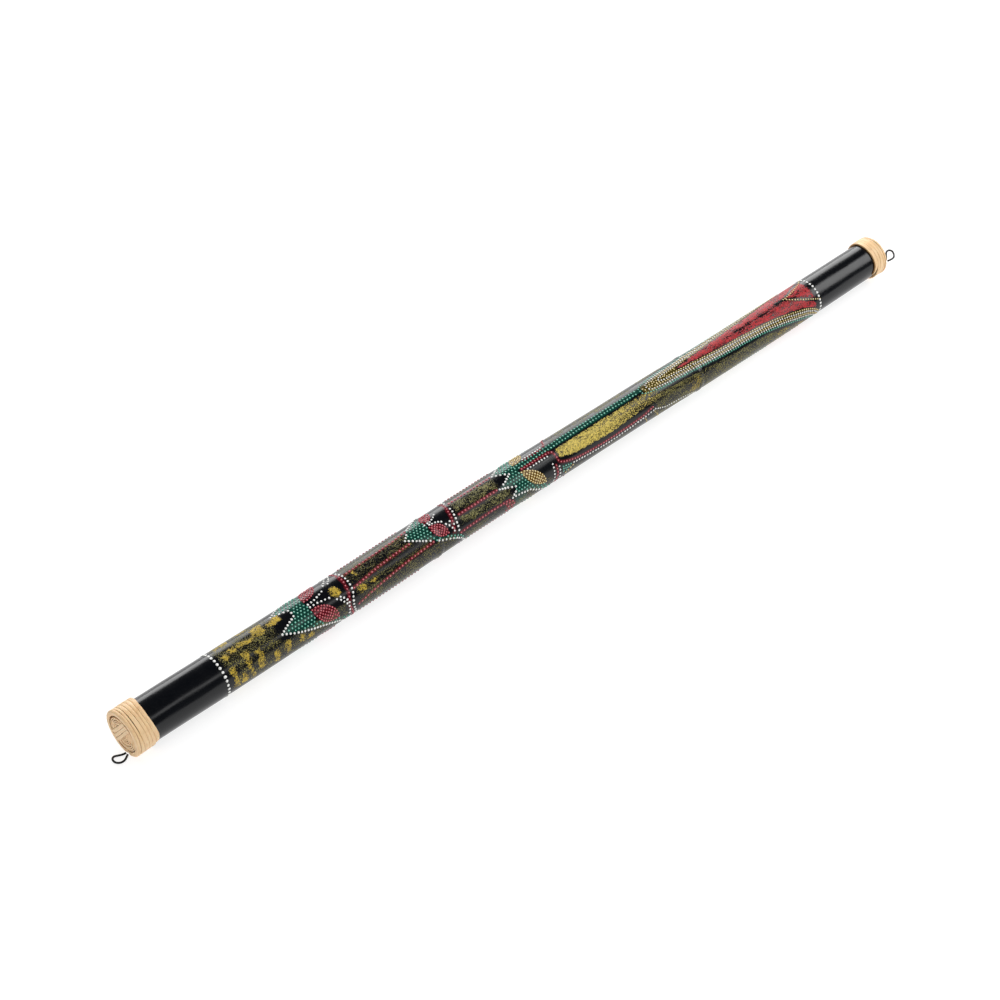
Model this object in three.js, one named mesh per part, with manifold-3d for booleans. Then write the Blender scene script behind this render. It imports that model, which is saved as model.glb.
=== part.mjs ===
// A bamboo rainstick lying on a surface: a lacquered bamboo tube with pegs across its bore,
// loose pebbles that trickle past them, a rattan-covered plug at each end and a hanging cord
// loop at each end. Millimetres, +Z up, +X from the thick (near) end to the thin (far) end.
import * as THREE from "three";
import { mergeVertices } from "three/addons/utils/BufferGeometryUtils.js";
import Module from "manifold-3d";

const wasm = await Module();
wasm.setup();

// ---- Driving dimensions ----
const stickLength = 1200; // from one rattan end face to the other
const nearTubeRadius = 25.4;
const farTubeRadius = 23;
const tubeWall = 4.2;
const clearance = 0.3; // between pieces that touch
const flats = 24; // flat sides of every piece that runs round the axis

const nodeStations = [-176, 250]; // the bamboo's own joints, along X
const nodeHeight = 0.9;
const nodeHalfWidth = 7;

const plugThickness = 10;
const rimDepth = 4; // rattan end face, from its outer plane to the tube's end
const rimRounding = 2.2;
const rimInset = 3; // how far the rim reaches in from the tube's outer radius

const stripThickness = 2.6;
const stripWidth = 4.3;
const nearTurns = 4.25;
const farTurns = 3.25;
const nearTailAngle = 125; // where the wound strip ends, in degrees from the top
const farTailAngle = 115;

const coilThickness = 1.4;
const coilGap = 0.6; // between the coil's turns
const coilTurns = 8;
const coilFlats = 16;
const crossThickness = 0.8;
const crossWidth = 4.2;
const crossCount = 3;
const crossMiddle = -3.1; // how far the middle cross strip lies off the axis
const crossAngle = 37; // the direction the cross strips run in, in degrees from the top

const pegCount = 24;
const pegRadius = 1.1;
const pegSides = 8;
const pegPocket = 1.8; // how far a peg's ends are let into the wall
const pegDirections = 4; // the pegs step through this many directions, over and over
const pegMargin = 32; // from the plug to the first peg

const pebbleCount = 8;
const pebbleRadius = 3.5;
const pebbleShape = [1.08, 0.98, 0.95]; // length, width and height, in pebble radii
const pebbleVariety = 0.06; // how much longer or shorter a pebble may be, in pebble radii
const pebbleGap = 0.6;
const laneGap = 0.65; // between a pebble in the bottom lane and the nearest peg

const cordRadius = 1.2;
const cordSides = 8;
const loopSteps = 26;
const knotAngles = { near: 170, far: 80 };
const knotRadius = 1.3;
const knotLength = 3.2;
const knotSides = 8;
const knotRings = 3;
const knotRecess = 0.6;

// The free loops' routes: distance out from the end face, then sideways (+Y) from the knot's
// middle, then up. The near loop lies on the surface, and its last value is the height of its
// underside above it. The far loop stands out in the air, and its last value starts at the knot.
const nearLoopRoute = [
  [0.6, 1.5, 0.8],
  [2.4, 1.9, 0.55],
  [4.4, 2.6, 0.3],
  [6.9, 3.8, 0.15],
  [9.8, 5.4, 0.1],
  [12.6, 6.5, 0.1],
  [15.0, 5.8, 0.1],
  [16.4, 3.5, 0.1],
  [16.6, 0.7, 0.1],
  [15.7, -2.0, 0.1],
  [13.7, -4.1, 0.1],
  [11.0, -5.2, 0.1],
  [8.2, -5.2, 0.1],
  [5.5, -4.3, 0.2],
  [3.1, -2.8, 0.4],
  [1.5, -1.9, 0.65],
  [0.6, -1.5, 0.8],
];
const farLoopRoute = [
  [0.6, 1.5, 0],
  [2.6, 2.8, 0.1],
  [5.2, 4.9, 0.5],
  [8.0, 7.6, 1.0],
  [11.2, 10.1, 1.4],
  [14.5, 11.4, 1.5],
  [17.6, 11.2, 1.2],
  [19.8, 9.5, 0.6],
  [20.2, 6.8, -0.1],
  [18.7, 3.8, -0.6],
  [16.1, 1.0, -0.8],
  [13.0, -1.1, -0.7],
  [9.6, -2.1, -0.4],
  [6.4, -2.2, -0.2],
  [3.6, -1.9, -0.1],
  [1.8, -1.7, 0],
  [0.6, -1.5, 0],
];

// ---- Derived dimensions ----
const halfLength = stickLength / 2;
const tubeEnd = halfLength - rimDepth - clearance;
const wrapBuild = clearance + stripThickness; // how far the rattan stands proud of the tube
const taper = (nearTubeRadius - farTubeRadius) / stickLength;
const middleRadius = (nearTubeRadius + farTubeRadius) / 2;
const lean = Math.atan(taper); // lays the underside of the tapered stick level
const axisHeight = (middleRadius + wrapBuild) * Math.cos(lean);
const axisHeightAt = (x) => axisHeight - x * Math.tan(lean);
const tubeRadiusAt = (x) => middleRadius - taper * x;
const boreRadiusAt = (x) => tubeRadiusAt(x) - tubeWall;
const corner = (flatRadius) => flatRadius / Math.cos(Math.PI / flats);
const degrees = THREE.MathUtils.degToRad;
const goldenAngle = Math.PI * (3 - Math.sqrt(5)); // turns each pebble a different way
const stripPitch = stripWidth + clearance;
const coilPitch = coilThickness + coilGap;
const coilDepth = rimDepth - crossThickness - clearance;
const crossPitch = crossWidth + clearance;
const knotLift = clearance + knotRadius; // from the rim's outer surface to the knot's middle

const materials = {
  lacquer: new THREE.MeshStandardMaterial({ color: 0x14161a, roughness: 0.35, metalness: 0 }),
  rattan: new THREE.MeshStandardMaterial({ color: 0xe6c194, roughness: 0.65, metalness: 0 }),
  plugWood: new THREE.MeshStandardMaterial({ color: 0xb98f5c, roughness: 0.8, metalness: 0 }),
  pegWood: new THREE.MeshStandardMaterial({ color: 0xcaa56c, roughness: 0.75, metalness: 0 }),
  cord: new THREE.MeshStandardMaterial({ color: 0x0b0b0c, roughness: 0.7, metalness: 0 }),
  pebble: new THREE.MeshStandardMaterial({ color: 0x8d8578, roughness: 0.6, metalness: 0 }),
};

// ---- Helpers ----
function named(name, geometry, material) {
  const mesh = new THREE.Mesh(geometry, material);
  mesh.name = name;
  return mesh;
}

// Turns a profile of [x, radius] corners round the X axis, with a flat side at the bottom.
function turned(profile) {
  const points = profile.map(([x, radius]) => new THREE.Vector2(corner(radius), x));
  const geometry = new THREE.LatheGeometry(points, flats, Math.PI / flats);
  return geometry.rotateZ(-Math.PI / 2);
}

function toSolid(geometry) {
  const bare = geometry.index ? geometry.toNonIndexed() : geometry.clone();
  bare.deleteAttribute("normal");
  bare.deleteAttribute("uv");
  const merged = mergeVertices(bare, 1e-4);
  return new wasm.Manifold(
    new wasm.Mesh({
      numProp: 3,
      vertProperties: merged.attributes.position.array,
      triVerts: new Uint32Array(merged.index.array),
    }),
  );
}

function toGeometry(solid) {
  const mesh = solid.getMesh();
  const geometry = new THREE.BufferGeometry();
  geometry.setAttribute("position", new THREE.BufferAttribute(mesh.vertProperties, 3));
  geometry.setIndex(new THREE.BufferAttribute(mesh.triVerts, 1));
  geometry.computeVertexNormals();
  return geometry;
}

// A direction across the stick, at an angle from the top towards -Y.
function radial(angle) {
  return new THREE.Vector3(0, -Math.sin(angle), Math.cos(angle));
}

// A strip wound round the stick: placeAt gives its x, radius and angle along its length.
class WindingCurve extends THREE.Curve {
  constructor(placeAt) {
    super();
    this.placeAt = placeAt;
  }

  getPoint(t, target = new THREE.Vector3()) {
    const { x, radius, angle } = this.placeAt(t);
    return target.copy(radial(angle)).multiplyScalar(radius).setX(x);
  }

  getPointAt(u, target) {
    return this.getPoint(u, target);
  }

  computeFrenetFrames(segments) {
    const frames = { tangents: [], normals: [], binormals: [] };
    for (let i = 0; i <= segments; i++) {
      const normal = radial(this.placeAt(i / segments).angle);
      const binormal = new THREE.Vector3(-1, 0, 0);
      frames.normals.push(normal);
      frames.binormals.push(binormal);
      frames.tangents.push(new THREE.Vector3().crossVectors(normal, binormal));
    }
    return frames;
  }
}

function rectangle(width, height) {
  const shape = new THREE.Shape();
  shape.moveTo(-width / 2, -height / 2);
  shape.lineTo(width / 2, -height / 2);
  shape.lineTo(width / 2, height / 2);
  shape.lineTo(-width / 2, height / 2);
  return shape;
}

function polygon(radius, sides) {
  const shape = new THREE.Shape();
  for (let i = 0; i < sides; i++) {
    const angle = (2 * Math.PI * i) / sides;
    const method = i ? "lineTo" : "moveTo";
    shape[method](radius * Math.cos(angle), radius * Math.sin(angle));
  }
  return shape;
}

// A cylinder across the stick through its axis, at a place along it and an angle from the top.
function crossCylinder(radius, length, x, angle) {
  const geometry = new THREE.CylinderGeometry(radius, radius, length, pegSides);
  geometry.rotateX(Math.PI / 2 + angle);
  return geometry.translate(x, 0, 0);
}

// ---- Pegs, which leave the lane along the bottom of the bore clear ----
const chamberEnd = tubeEnd - plugThickness;
const pebbleReach = pebbleRadius * (pebbleShape[0] + pebbleVariety);
const narrowestBore = Math.min(boreRadiusAt(-chamberEnd), boreRadiusAt(chamberEnd));
const pebbleTrack = narrowestBore - clearance - pebbleRadius; // the pebbles' distance from the axis
const laneHalfAngle = Math.asin((pebbleReach + laneGap + pegRadius) / pebbleTrack);
const pegTurn = (Math.PI - 2 * laneHalfAngle) / (pegDirections - 1);
const pegSpacing = (2 * (chamberEnd - pegMargin)) / (pegCount - 1);
const pegPlaces = Array.from({ length: pegCount }, (_, i) => ({
  x: -chamberEnd + pegMargin + i * pegSpacing,
  angle: laneHalfAngle + (i % pegDirections) * pegTurn,
}));

function makePeg({ x, angle }) {
  const reach = boreRadiusAt(x) + pegPocket - clearance;
  return crossCylinder(pegRadius, 2 * reach, x, angle);
}

// ---- Bamboo tube ----
function tubeProfile() {
  const outer = [[-tubeEnd, tubeRadiusAt(-tubeEnd)]];
  for (const x of nodeStations) {
    outer.push([x - nodeHalfWidth, tubeRadiusAt(x - nodeHalfWidth)]);
    outer.push([x, tubeRadiusAt(x) + nodeHeight]);
    outer.push([x + nodeHalfWidth, tubeRadiusAt(x + nodeHalfWidth)]);
  }
  outer.push([tubeEnd, tubeRadiusAt(tubeEnd)]);
  const inner = [
    [tubeEnd, boreRadiusAt(tubeEnd)],
    [-tubeEnd, boreRadiusAt(-tubeEnd)],
  ];
  return [...outer, ...inner, outer[0]];
}

function makeTube() {
  let tube = toSolid(turned(tubeProfile()));
  for (const { x, angle } of pegPlaces) {
    const length = 2 * (boreRadiusAt(x) + pegPocket);
    const hole = crossCylinder(pegRadius + clearance, length, x, angle);
    tube = tube.subtract(toSolid(hole));
  }
  return toGeometry(tube);
}

// ---- End pieces; side is -1 at the near end and 1 at the far end ----
function makePlug(side) {
  const places = [side * tubeEnd, side * chamberEnd].sort((a, b) => a - b);
  const rim = places.map((x) => [x, boreRadiusAt(x) - clearance]);
  return turned([[places[0], 0], ...rim, [places[1], 0]]);
}

const outerRadiusAt = (x) => tubeRadiusAt(x) + wrapBuild;
const rimInnerRadius = (side) => tubeRadiusAt(side * halfLength) - rimInset;

function rimProfile(side) {
  const inner = rimInnerRadius(side);
  const outer = outerRadiusAt(side * halfLength);
  const bend = rimRounding * (1 - Math.SQRT1_2); // the middle of the rounding's quarter circle
  const depthAndRadius = [
    [rimDepth, inner],
    [0, inner],
    [0, outer - rimRounding],
    [bend, outer - bend],
    [rimRounding, outer],
    [rimDepth, outer],
  ];
  const profile = depthAndRadius.map(([depth, radius]) => [side * (halfLength - depth), radius]);
  const ordered = side < 0 ? profile : profile.reverse();
  return [...ordered, ordered[0]];
}

const knotSeat = (side) => outerRadiusAt(side * halfLength) - knotLift;

// The rim strip, notched where the cord's knot sits in it.
function makeRim(side, angle) {
  const notchWidth = knotLength + 2 * (knotRadius + clearance);
  const notchDepth = 2 * (knotRadius + clearance);
  const notch = new THREE.BoxGeometry(3 * rimDepth, notchWidth, 2 * notchDepth);
  notch.translate(0, 0, knotSeat(side) - knotRadius - clearance + notchDepth);
  notch.rotateX(angle).translate(side * halfLength, 0, 0);
  return toGeometry(toSolid(turned(rimProfile(side))).subtract(toSolid(notch)));
}

function makeKnot(side, angle) {
  const geometry = new THREE.CapsuleGeometry(knotRadius, knotLength, knotRings, knotSides);
  geometry.translate(0, 0, knotSeat(side)).rotateX(angle);
  return geometry.translate(side * (halfLength - knotRecess - knotRadius), 0, 0);
}

// The strip wound round the tube behind the rim, from the rim inwards.
function makeWrap(side, turns, tailAngle) {
  const start = side * (tubeEnd - stripWidth / 2);
  const step = (2 * Math.PI) / flats;
  const tail = Math.round(degrees(tailAngle) / step) * step + step / 2;
  const steps = Math.round(turns * flats);
  const curve = new WindingCurve((t) => {
    const x = start - side * stripPitch * turns * t;
    const radius = corner(tubeRadiusAt(x) + clearance + stripThickness / 2);
    return { x, radius, angle: tail - (1 - t) * steps * step };
  });
  const section = rectangle(corner(stripThickness), stripWidth);
  return new THREE.ExtrudeGeometry(section, { steps, extrudePath: curve });
}

// The strip coiled edge-on inside the rim.
function makeCoil(side) {
  const outermost = rimInnerRadius(side) - clearance - coilThickness;
  const x = side * (halfLength - rimDepth + coilDepth / 2);
  const curve = new WindingCurve((t) => ({
    x,
    radius: outermost - coilPitch * coilTurns * t,
    angle: 2 * Math.PI * coilTurns * t,
  }));
  const section = rectangle(coilThickness, coilDepth);
  const steps = coilTurns * coilFlats;
  return new THREE.ExtrudeGeometry(section, { steps, extrudePath: curve });
}

function makeCrossStrip(side, index) {
  const offset = crossMiddle + (index - (crossCount - 1) / 2) * crossPitch;
  const reach = rimInnerRadius(side) - clearance;
  const edge = Math.abs(offset) + crossWidth / 2;
  const length = 2 * Math.sqrt(reach ** 2 - edge ** 2);
  const geometry = new THREE.BoxGeometry(crossThickness, crossWidth, length);
  geometry.translate(side * (halfLength - crossThickness / 2), -offset, 0);
  return geometry.rotateX(degrees(crossAngle));
}

// ---- Cord loops, each from one end of its knot round to the other ----
function makeLoop({ side, knot, route, lies }) {
  const seat = radial(knot).multiplyScalar(knotSeat(side));
  const base = lies ? cordRadius : axisHeightAt(side * halfLength) + seat.z;
  const points = route.map(
    ([out, across, up]) => new THREE.Vector3(side * (halfLength + out), seat.y + across, base + up),
  );
  const curve = new THREE.CatmullRomCurve3(points);
  const section = polygon(cordRadius, cordSides);
  return new THREE.ExtrudeGeometry(section, { steps: loopSteps, extrudePath: curve });
}

// ---- Pebbles, in the clear lane along the bottom of the bore ----
const pebblePitch = 2 * pebbleReach + pebbleGap;

function makePebble(index) {
  const geometry = new THREE.IcosahedronGeometry(pebbleRadius, 1);
  const [long, wide, high] = pebbleShape;
  const swell = pebbleVariety * Math.sin(index * goldenAngle);
  geometry.scale(long + swell, wide - swell, high);
  geometry.rotateZ(index * goldenAngle);
  const laneFloor = wrapBuild + tubeWall;
  const x = -chamberEnd + pebbleGap + pebbleReach + index * pebblePitch;
  return geometry.translate(x, 0, laneFloor + clearance + pebbleRadius);
}

// ---- Assembly ----
const ends = [
  {
    name: "near",
    side: -1,
    turns: nearTurns,
    tail: nearTailAngle,
    knot: degrees(knotAngles.near),
    route: nearLoopRoute,
    lies: true,
  },
  {
    name: "far",
    side: 1,
    turns: farTurns,
    tail: farTailAngle,
    knot: degrees(knotAngles.far),
    route: farLoopRoute,
    lies: false,
  },
];

const rainstick = new THREE.Group();
const stick = new THREE.Group();
stick.rotation.y = lean;
stick.position.z = axisHeight;
rainstick.add(stick);

stick.add(named("bamboo_tube", makeTube(), materials.lacquer));
pegPlaces.forEach((place, i) => {
  const name = "peg_" + String(i + 1).padStart(2, "0");
  stick.add(named(name, makePeg(place), materials.pegWood));
});
for (const end of ends) {
  const { name, side } = end;
  stick.add(named(name + "_end_plug", makePlug(side), materials.plugWood));
  stick.add(named(name + "_rim_strip", makeRim(side, end.knot), materials.rattan));
  stick.add(named(name + "_wound_strip", makeWrap(side, end.turns, end.tail), materials.rattan));
  stick.add(named(name + "_face_coil", makeCoil(side), materials.rattan));
  for (let i = 0; i < crossCount; i++) {
    const strip = makeCrossStrip(side, i);
    stick.add(named(name + "_cross_strip_" + (i + 1), strip, materials.rattan));
  }
  stick.add(named(name + "_cord_knot", makeKnot(side, end.knot), materials.cord));
  rainstick.add(named(name + "_cord_loop", makeLoop(end), materials.cord));
}
for (let i = 0; i < pebbleCount; i++)
  rainstick.add(named("pebble_" + (i + 1), makePebble(i), materials.pebble));

export default rainstick;
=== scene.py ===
"""The looks of a bamboo rainstick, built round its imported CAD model.

Places on the stick are given as s, the distance from the thick end's face in millimetres, and a,
the angle round the stick in degrees from its top towards -Y. The painted pattern, the cords' routes
and the windings are also written in millimetres, and everything else is in metres.
"""
import math
import random

import bmesh
import bpy
import numpy as np
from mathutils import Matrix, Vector


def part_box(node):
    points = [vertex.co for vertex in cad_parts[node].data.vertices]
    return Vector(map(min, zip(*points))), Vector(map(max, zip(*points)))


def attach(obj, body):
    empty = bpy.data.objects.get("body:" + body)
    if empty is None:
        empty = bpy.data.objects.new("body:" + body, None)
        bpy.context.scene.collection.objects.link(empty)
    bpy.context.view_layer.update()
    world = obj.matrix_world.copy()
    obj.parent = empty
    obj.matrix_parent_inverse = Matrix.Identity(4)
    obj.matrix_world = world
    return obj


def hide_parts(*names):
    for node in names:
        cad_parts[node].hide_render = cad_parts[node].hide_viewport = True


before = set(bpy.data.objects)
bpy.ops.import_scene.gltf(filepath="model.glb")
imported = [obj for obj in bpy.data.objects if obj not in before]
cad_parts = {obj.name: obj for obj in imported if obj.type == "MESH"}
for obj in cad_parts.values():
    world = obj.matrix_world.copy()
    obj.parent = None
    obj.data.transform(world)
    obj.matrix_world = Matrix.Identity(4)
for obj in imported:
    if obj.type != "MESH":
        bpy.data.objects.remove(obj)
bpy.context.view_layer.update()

MM = 0.001
NEAR_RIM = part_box("near_rim_strip")
FAR_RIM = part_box("far_rim_strip")
X_NEAR = NEAR_RIM[0].x
X_FAR = FAR_RIM[1].x
LENGTH = X_FAR - X_NEAR
LENGTH_MM = LENGTH / MM
STRIP_BUILD = 2.9 * MM  # how far the rattan stands proud of the tube
STRIP_THICK = 2.6 * MM
TUBE_WALL = 4.2 * MM
RIM_DEPTH = 4.0 * MM
RING_STATIONS = (121.2, 1071.5)  # the white rings that end the painted part
NODE_STATIONS = (424.0, 850.0)  # the cane's own joints
OUTWARD = {"near": -1, "far": 1}  # the way out of each end face, along x
FACE_S = {"near": 0.0, "far": LENGTH_MM}


# ---- places on the stick
def half_height(box):
    return (box[1].z - box[0].z) / 2


OUTER_NEAR = half_height(NEAR_RIM)
OUTER_FAR = half_height(FAR_RIM)
MIDDLE_NEAR = (NEAR_RIM[1].z + NEAR_RIM[0].z) / 2
MIDDLE_FAR = (FAR_RIM[1].z + FAR_RIM[0].z) / 2

# How far the cane bows towards the back and up, in millimetres, at places along it.
BOW = [(0, 0), (150, -0.6), (330, -0.1), (490, 1.7), (650, 0.8), (790, 0), (880, -1.2),
       (1010, -1.2), (1130, -0.4), (1200, 0)]
BOW_DIRECTION = np.array([0.0, 0.80, 0.60])


def lengths_along(path):
    """The distance along a path to each of its points."""
    return np.concatenate([[0], np.cumsum(np.linalg.norm(np.diff(path, axis=0), axis=1))])


def degrees_off(a, b):
    """How far a is from b round the stick, from -180 to 180."""
    return (a - b + 180) % 360 - 180


def smooth_through(points, count):
    """A smooth curve (Catmull-Rom) through points, as count evenly spaced places."""
    p = np.asarray(points, float)
    p = np.vstack([2 * p[0] - p[1], p, 2 * p[-1] - p[-2]])
    fine = []
    for i in range(1, len(p) - 2):
        t = np.linspace(0, 1, 24, endpoint=False)[:, None]
        a, b, c, d = p[i - 1:i + 3]
        fine.append(0.5 * (2 * b + (c - a) * t + (2 * a - 5 * b + 4 * c - d) * t ** 2
                           + (3 * b - a - 3 * c + d) * t ** 3))
    fine = np.vstack(fine + [p[-2][None]])
    along = lengths_along(fine)
    at = np.linspace(0, along[-1], count)
    return np.stack([np.interp(at, along, fine[:, k]) for k in range(p.shape[1])], axis=1)


BOW_CURVE = smooth_through(BOW, 200)


def bow_at(s):
    return np.interp(s, BOW_CURVE[:, 0], BOW_CURVE[:, 1])


def x_at(s):
    return X_NEAR + np.asarray(s, float) * MM


def share_at(s):
    return np.asarray(s, float) / LENGTH_MM


def outer_radius(s):
    """Radius over the rattan."""
    return OUTER_NEAR + (OUTER_FAR - OUTER_NEAR) * share_at(s)


def tube_radius(s):
    return outer_radius(s) - STRIP_BUILD


def axis_point(s, bowed=True):
    s = np.asarray(s, float)
    y = np.zeros_like(s)
    z = MIDDLE_NEAR + (MIDDLE_FAR - MIDDLE_NEAR) * share_at(s)
    bow = bow_at(s) * MM if bowed else 0.0
    return np.stack([x_at(s), y + bow * BOW_DIRECTION[1], z + bow * BOW_DIRECTION[2]], axis=-1)


def radial(a):
    """The direction away from the axis, at a degrees from the top towards -Y."""
    a = np.radians(np.asarray(a, float))
    return np.stack([np.zeros_like(a), -np.sin(a), np.cos(a)], axis=-1)


def cane_relief(s, a):
    """The cane's natural surface: joints, and a slight unevenness, in metres."""
    s, turn = np.asarray(s, float), np.radians(np.asarray(a, float))
    relief = 0.10 * np.sin(s / 37 + 2 * turn) + 0.08 * np.sin(s / 83 - 3 * turn + 1.0)
    relief = relief + 0.05 * np.sin(s / 11.5 + 5 * turn) * np.sin(s / 150 + 0.7)
    for station in NODE_STATIONS:
        away = s - station - 1.2 * np.sin(turn)
        relief = relief + 0.75 * np.exp(-(away / 4.5) ** 2) - 0.45 * np.exp(-((away - 6) / 1.6) ** 2)
    return relief * MM


def on_skin(s, a, lift=0.0):
    """Points on the painted surface, raised by lift metres."""
    reach = tube_radius(s) + cane_relief(s, a) + lift
    return axis_point(s) + radial(a) * np.asarray(reach)[..., None]


# ---- camera
def make_camera():
    data = bpy.data.cameras.new("camera")
    data.sensor_width = 36.0
    data.lens = 82.15
    data.clip_start = 0.1
    data.clip_end = 60.0
    camera = bpy.data.objects.new("camera", data)
    bpy.context.scene.collection.objects.link(camera)
    camera.location = (-1.3700, -1.4027, 1.8445)
    look = Vector((0.4936, 0.5293, -0.6901))
    camera.rotation_euler = look.to_track_quat("-Z", "Y").to_euler()
    bpy.context.scene.camera = camera


make_camera()


# ---- mesh helpers
def link(name, vertices, faces, material, smooth=True):
    mesh = bpy.data.meshes.new(name)
    mesh.from_pydata([tuple(v) for v in np.asarray(vertices, float)], [], faces)
    mesh.update()
    if smooth:
        mesh.shade_smooth()
    piece = bpy.data.objects.new(name, mesh)
    bpy.context.scene.collection.objects.link(piece)
    mesh.materials.append(material)
    return piece


def give(piece, name, values, kind="FLOAT"):
    """Stores one value, vector or colour for each vertex, for the material to read."""
    attribute = piece.data.attributes.new(name, kind, "POINT")
    field = {"FLOAT": "value", "FLOAT_VECTOR": "vector", "FLOAT_COLOR": "color"}[kind]
    attribute.data.foreach_set(field, np.ascontiguousarray(values, np.float32).ravel())


def loft_faces(rows, columns, closed_rows=False):
    """Faces of a tube of rows sections with columns points each, with flat ends if it is open."""
    faces = []
    for i in range(rows if closed_rows else rows - 1):
        here, there = i * columns, (i + 1) % rows * columns
        for j in range(columns):
            k = (j + 1) % columns
            faces.append((here + j, here + k, there + k, there + j))
    if not closed_rows:
        faces.append(tuple(reversed(range(columns))))
        faces.append(tuple(range((rows - 1) * columns, rows * columns)))
    return faces


def facing_out(piece):
    """Turns the faces outwards if the closed mesh came out inside out."""
    work = bmesh.new()
    work.from_mesh(piece.data)
    bmesh.ops.recalc_face_normals(work, faces=work.faces)
    work.to_mesh(piece.data)
    work.free()
    return piece


# ---- material helpers
class Shader:
    """One node material. add() makes a node, sets its plain inputs and links the others."""

    def __init__(self, name, **constants):
        self.material = bpy.data.materials.new(name)
        self.material.use_nodes = True
        self.tree = self.material.node_tree
        self.surface = self.tree.nodes["Principled BSDF"]
        for socket, value in constants.items():
            self.surface.inputs[socket.replace("_", " ")].default_value = value

    def add(self, kind, inputs=(), **settings):
        node = self.tree.nodes.new(kind)
        for key, value in settings.items():
            setattr(node, key, value)
        for socket, value in dict(inputs).items():
            self.set(node.inputs[socket], value)
        return node

    def set(self, socket, value):
        if isinstance(value, bpy.types.NodeSocket):
            self.tree.links.new(value, socket)
        else:
            socket.default_value = value

    def place(self, scale=(1, 1, 1)):
        coordinates = self.add("ShaderNodeTexCoord").outputs["Object"]
        return self.add("ShaderNodeMapping", {"Vector": coordinates, "Scale": scale}).outputs[0]

    def attribute(self, name, output="Fac"):
        return self.add("ShaderNodeAttribute", attribute_name=name).outputs[output]

    def noise(self, vector, scale, detail=3.0, roughness=0.5, distortion=0.0):
        inputs = {"Vector": vector, "Scale": scale, "Detail": detail, "Roughness": roughness,
                  "Distortion": distortion}
        return self.add("ShaderNodeTexNoise", inputs).outputs["Fac"]

    def math(self, operation, *values):
        return self.add("ShaderNodeMath", enumerate(values), operation=operation).outputs[0]

    def span(self, value, low, high, to_low=0.0, to_high=1.0):
        inputs = {"Value": value, "From Min": low, "From Max": high, "To Min": to_low,
                  "To Max": to_high}
        node = self.add("ShaderNodeMapRange", inputs, clamp=True)
        return node.outputs[0]

    def mix(self, share, first, second, blend="MIX"):
        node = self.add("ShaderNodeMix", data_type="RGBA", blend_type=blend)
        self.set(node.inputs["Factor"], share)
        self.set([i for i in node.inputs if i.name == "A" and i.type == "RGBA"][0], first)
        self.set([i for i in node.inputs if i.name == "B" and i.type == "RGBA"][0], second)
        return [o for o in node.outputs if o.type == "RGBA"][0]

    def bump(self, height, depth, strength=1.0, normal=None):
        inputs = {"Height": height, "Distance": depth, "Strength": strength}
        node = self.add("ShaderNodeBump", inputs)
        if normal is not None:
            self.set(node.inputs["Normal"], normal)
        return node.outputs[0]

    def finish(self, **sockets):
        for name, value in sockets.items():
            self.set(self.surface.inputs[name.replace("_", " ")], value)
        return self.material


# ---- materials
FLECK_SCALES = (640.0, 1100.0)  # coarse and fine flecks of sponged paint, per metre
FLECK_SHARES = (0.60, 0.50)  # how far each kind spreads where the paint is densest


def lacquer_material():
    """Black satin lacquer with sponged flecks of paint where the mesh says so."""
    shader = Shader("lacquered_bamboo", IOR=1.42)
    here = shader.place()
    along = shader.place((0.10, 1, 1))
    cloud = shader.noise(here, 14.0, 4.0)
    streak = shader.noise(along, 420.0, 3.0)
    black = shader.mix(cloud, (0.0018, 0.0022, 0.0035, 1), (0.0035, 0.0040, 0.0055, 1))
    tint = shader.attribute("tint", "Color")
    ground = shader.mix(shader.attribute("tint_share"), black, tint)
    paint = shader.attribute("fleck_colour", "Color")
    density = shader.attribute("fleck_density")
    cells = [shader.add("ShaderNodeTexVoronoi", {"Vector": here, "Scale": scale}).outputs
             for scale in FLECK_SCALES]
    reach = [shader.math("SUBTRACT", shader.math("MULTIPLY", density, share), cell["Distance"])
             for share, cell in zip(FLECK_SHARES, cells)]
    flecks = shader.math("MAXIMUM", *(shader.span(value, -0.03, 0.08) for value in reach))
    bright = shader.add("ShaderNodeSeparateColor", {"Color": cells[0]["Color"]}).outputs[0]
    dim = shader.mix(0.45, paint, (0.02, 0.02, 0.012, 1))
    lit = shader.mix(shader.span(bright, 0.1, 0.75), dim, paint)
    colour = shader.mix(flecks, ground, lit)
    rough = shader.span(shader.noise(here, 55.0, 3.0), 0.3, 0.7, 0.17, 0.24)
    rough = shader.math("ADD", rough, shader.math("MULTIPLY", flecks, 0.28))
    grain = shader.bump(streak, 0.00006, 0.6)
    relief = shader.bump(flecks, 0.00022, 1.0, grain)
    return shader.finish(Base_Color=colour, Roughness=rough, Normal=relief)


def bare_bamboo_material():
    """The unpainted inside of the cane."""
    shader = Shader("bare_bamboo", Roughness=0.75)
    along = shader.place((0.05, 1, 1))
    fibre = shader.noise(along, 900.0, 4.0, 0.6)
    colour = shader.mix(fibre, (0.48, 0.32, 0.15, 1), (0.72, 0.55, 0.31, 1))
    return shader.finish(Base_Color=colour, Normal=shader.bump(fibre, 0.0001))


def paint_material(name, base, edge, painted_highlight):
    """A raised dot of acrylic paint: thin and dark at its edge, thick in the middle, with a painted
    highlight on its crown.
    """
    shader = Shader(name, Coat_Weight=0.25, Coat_Roughness=0.2)
    here = shader.place()
    thick = shader.attribute("thickness")
    patch = shader.noise(here, 170.0, 2.0)
    body = shader.mix(shader.span(thick, 0.12, 0.50), edge, base)
    # Painted highlight: the thickest middle of each dot is coloured bright, in patches, standing in for
    # the glint of light on its crown.
    painted_highlight_share = shader.math("MULTIPLY", shader.span(thick, 0.55, 0.95),
                        shader.span(patch, 0.2, 0.7, 0.55, 1.0))
    colour = shader.mix(painted_highlight_share, body, painted_highlight)
    fine = shader.noise(here, 2600.0, 2.0)
    rough = shader.span(patch, 0.2, 0.8, 0.34, 0.5)
    return shader.finish(Base_Color=colour, Roughness=rough, Normal=shader.bump(fine, 0.00003))


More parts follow.
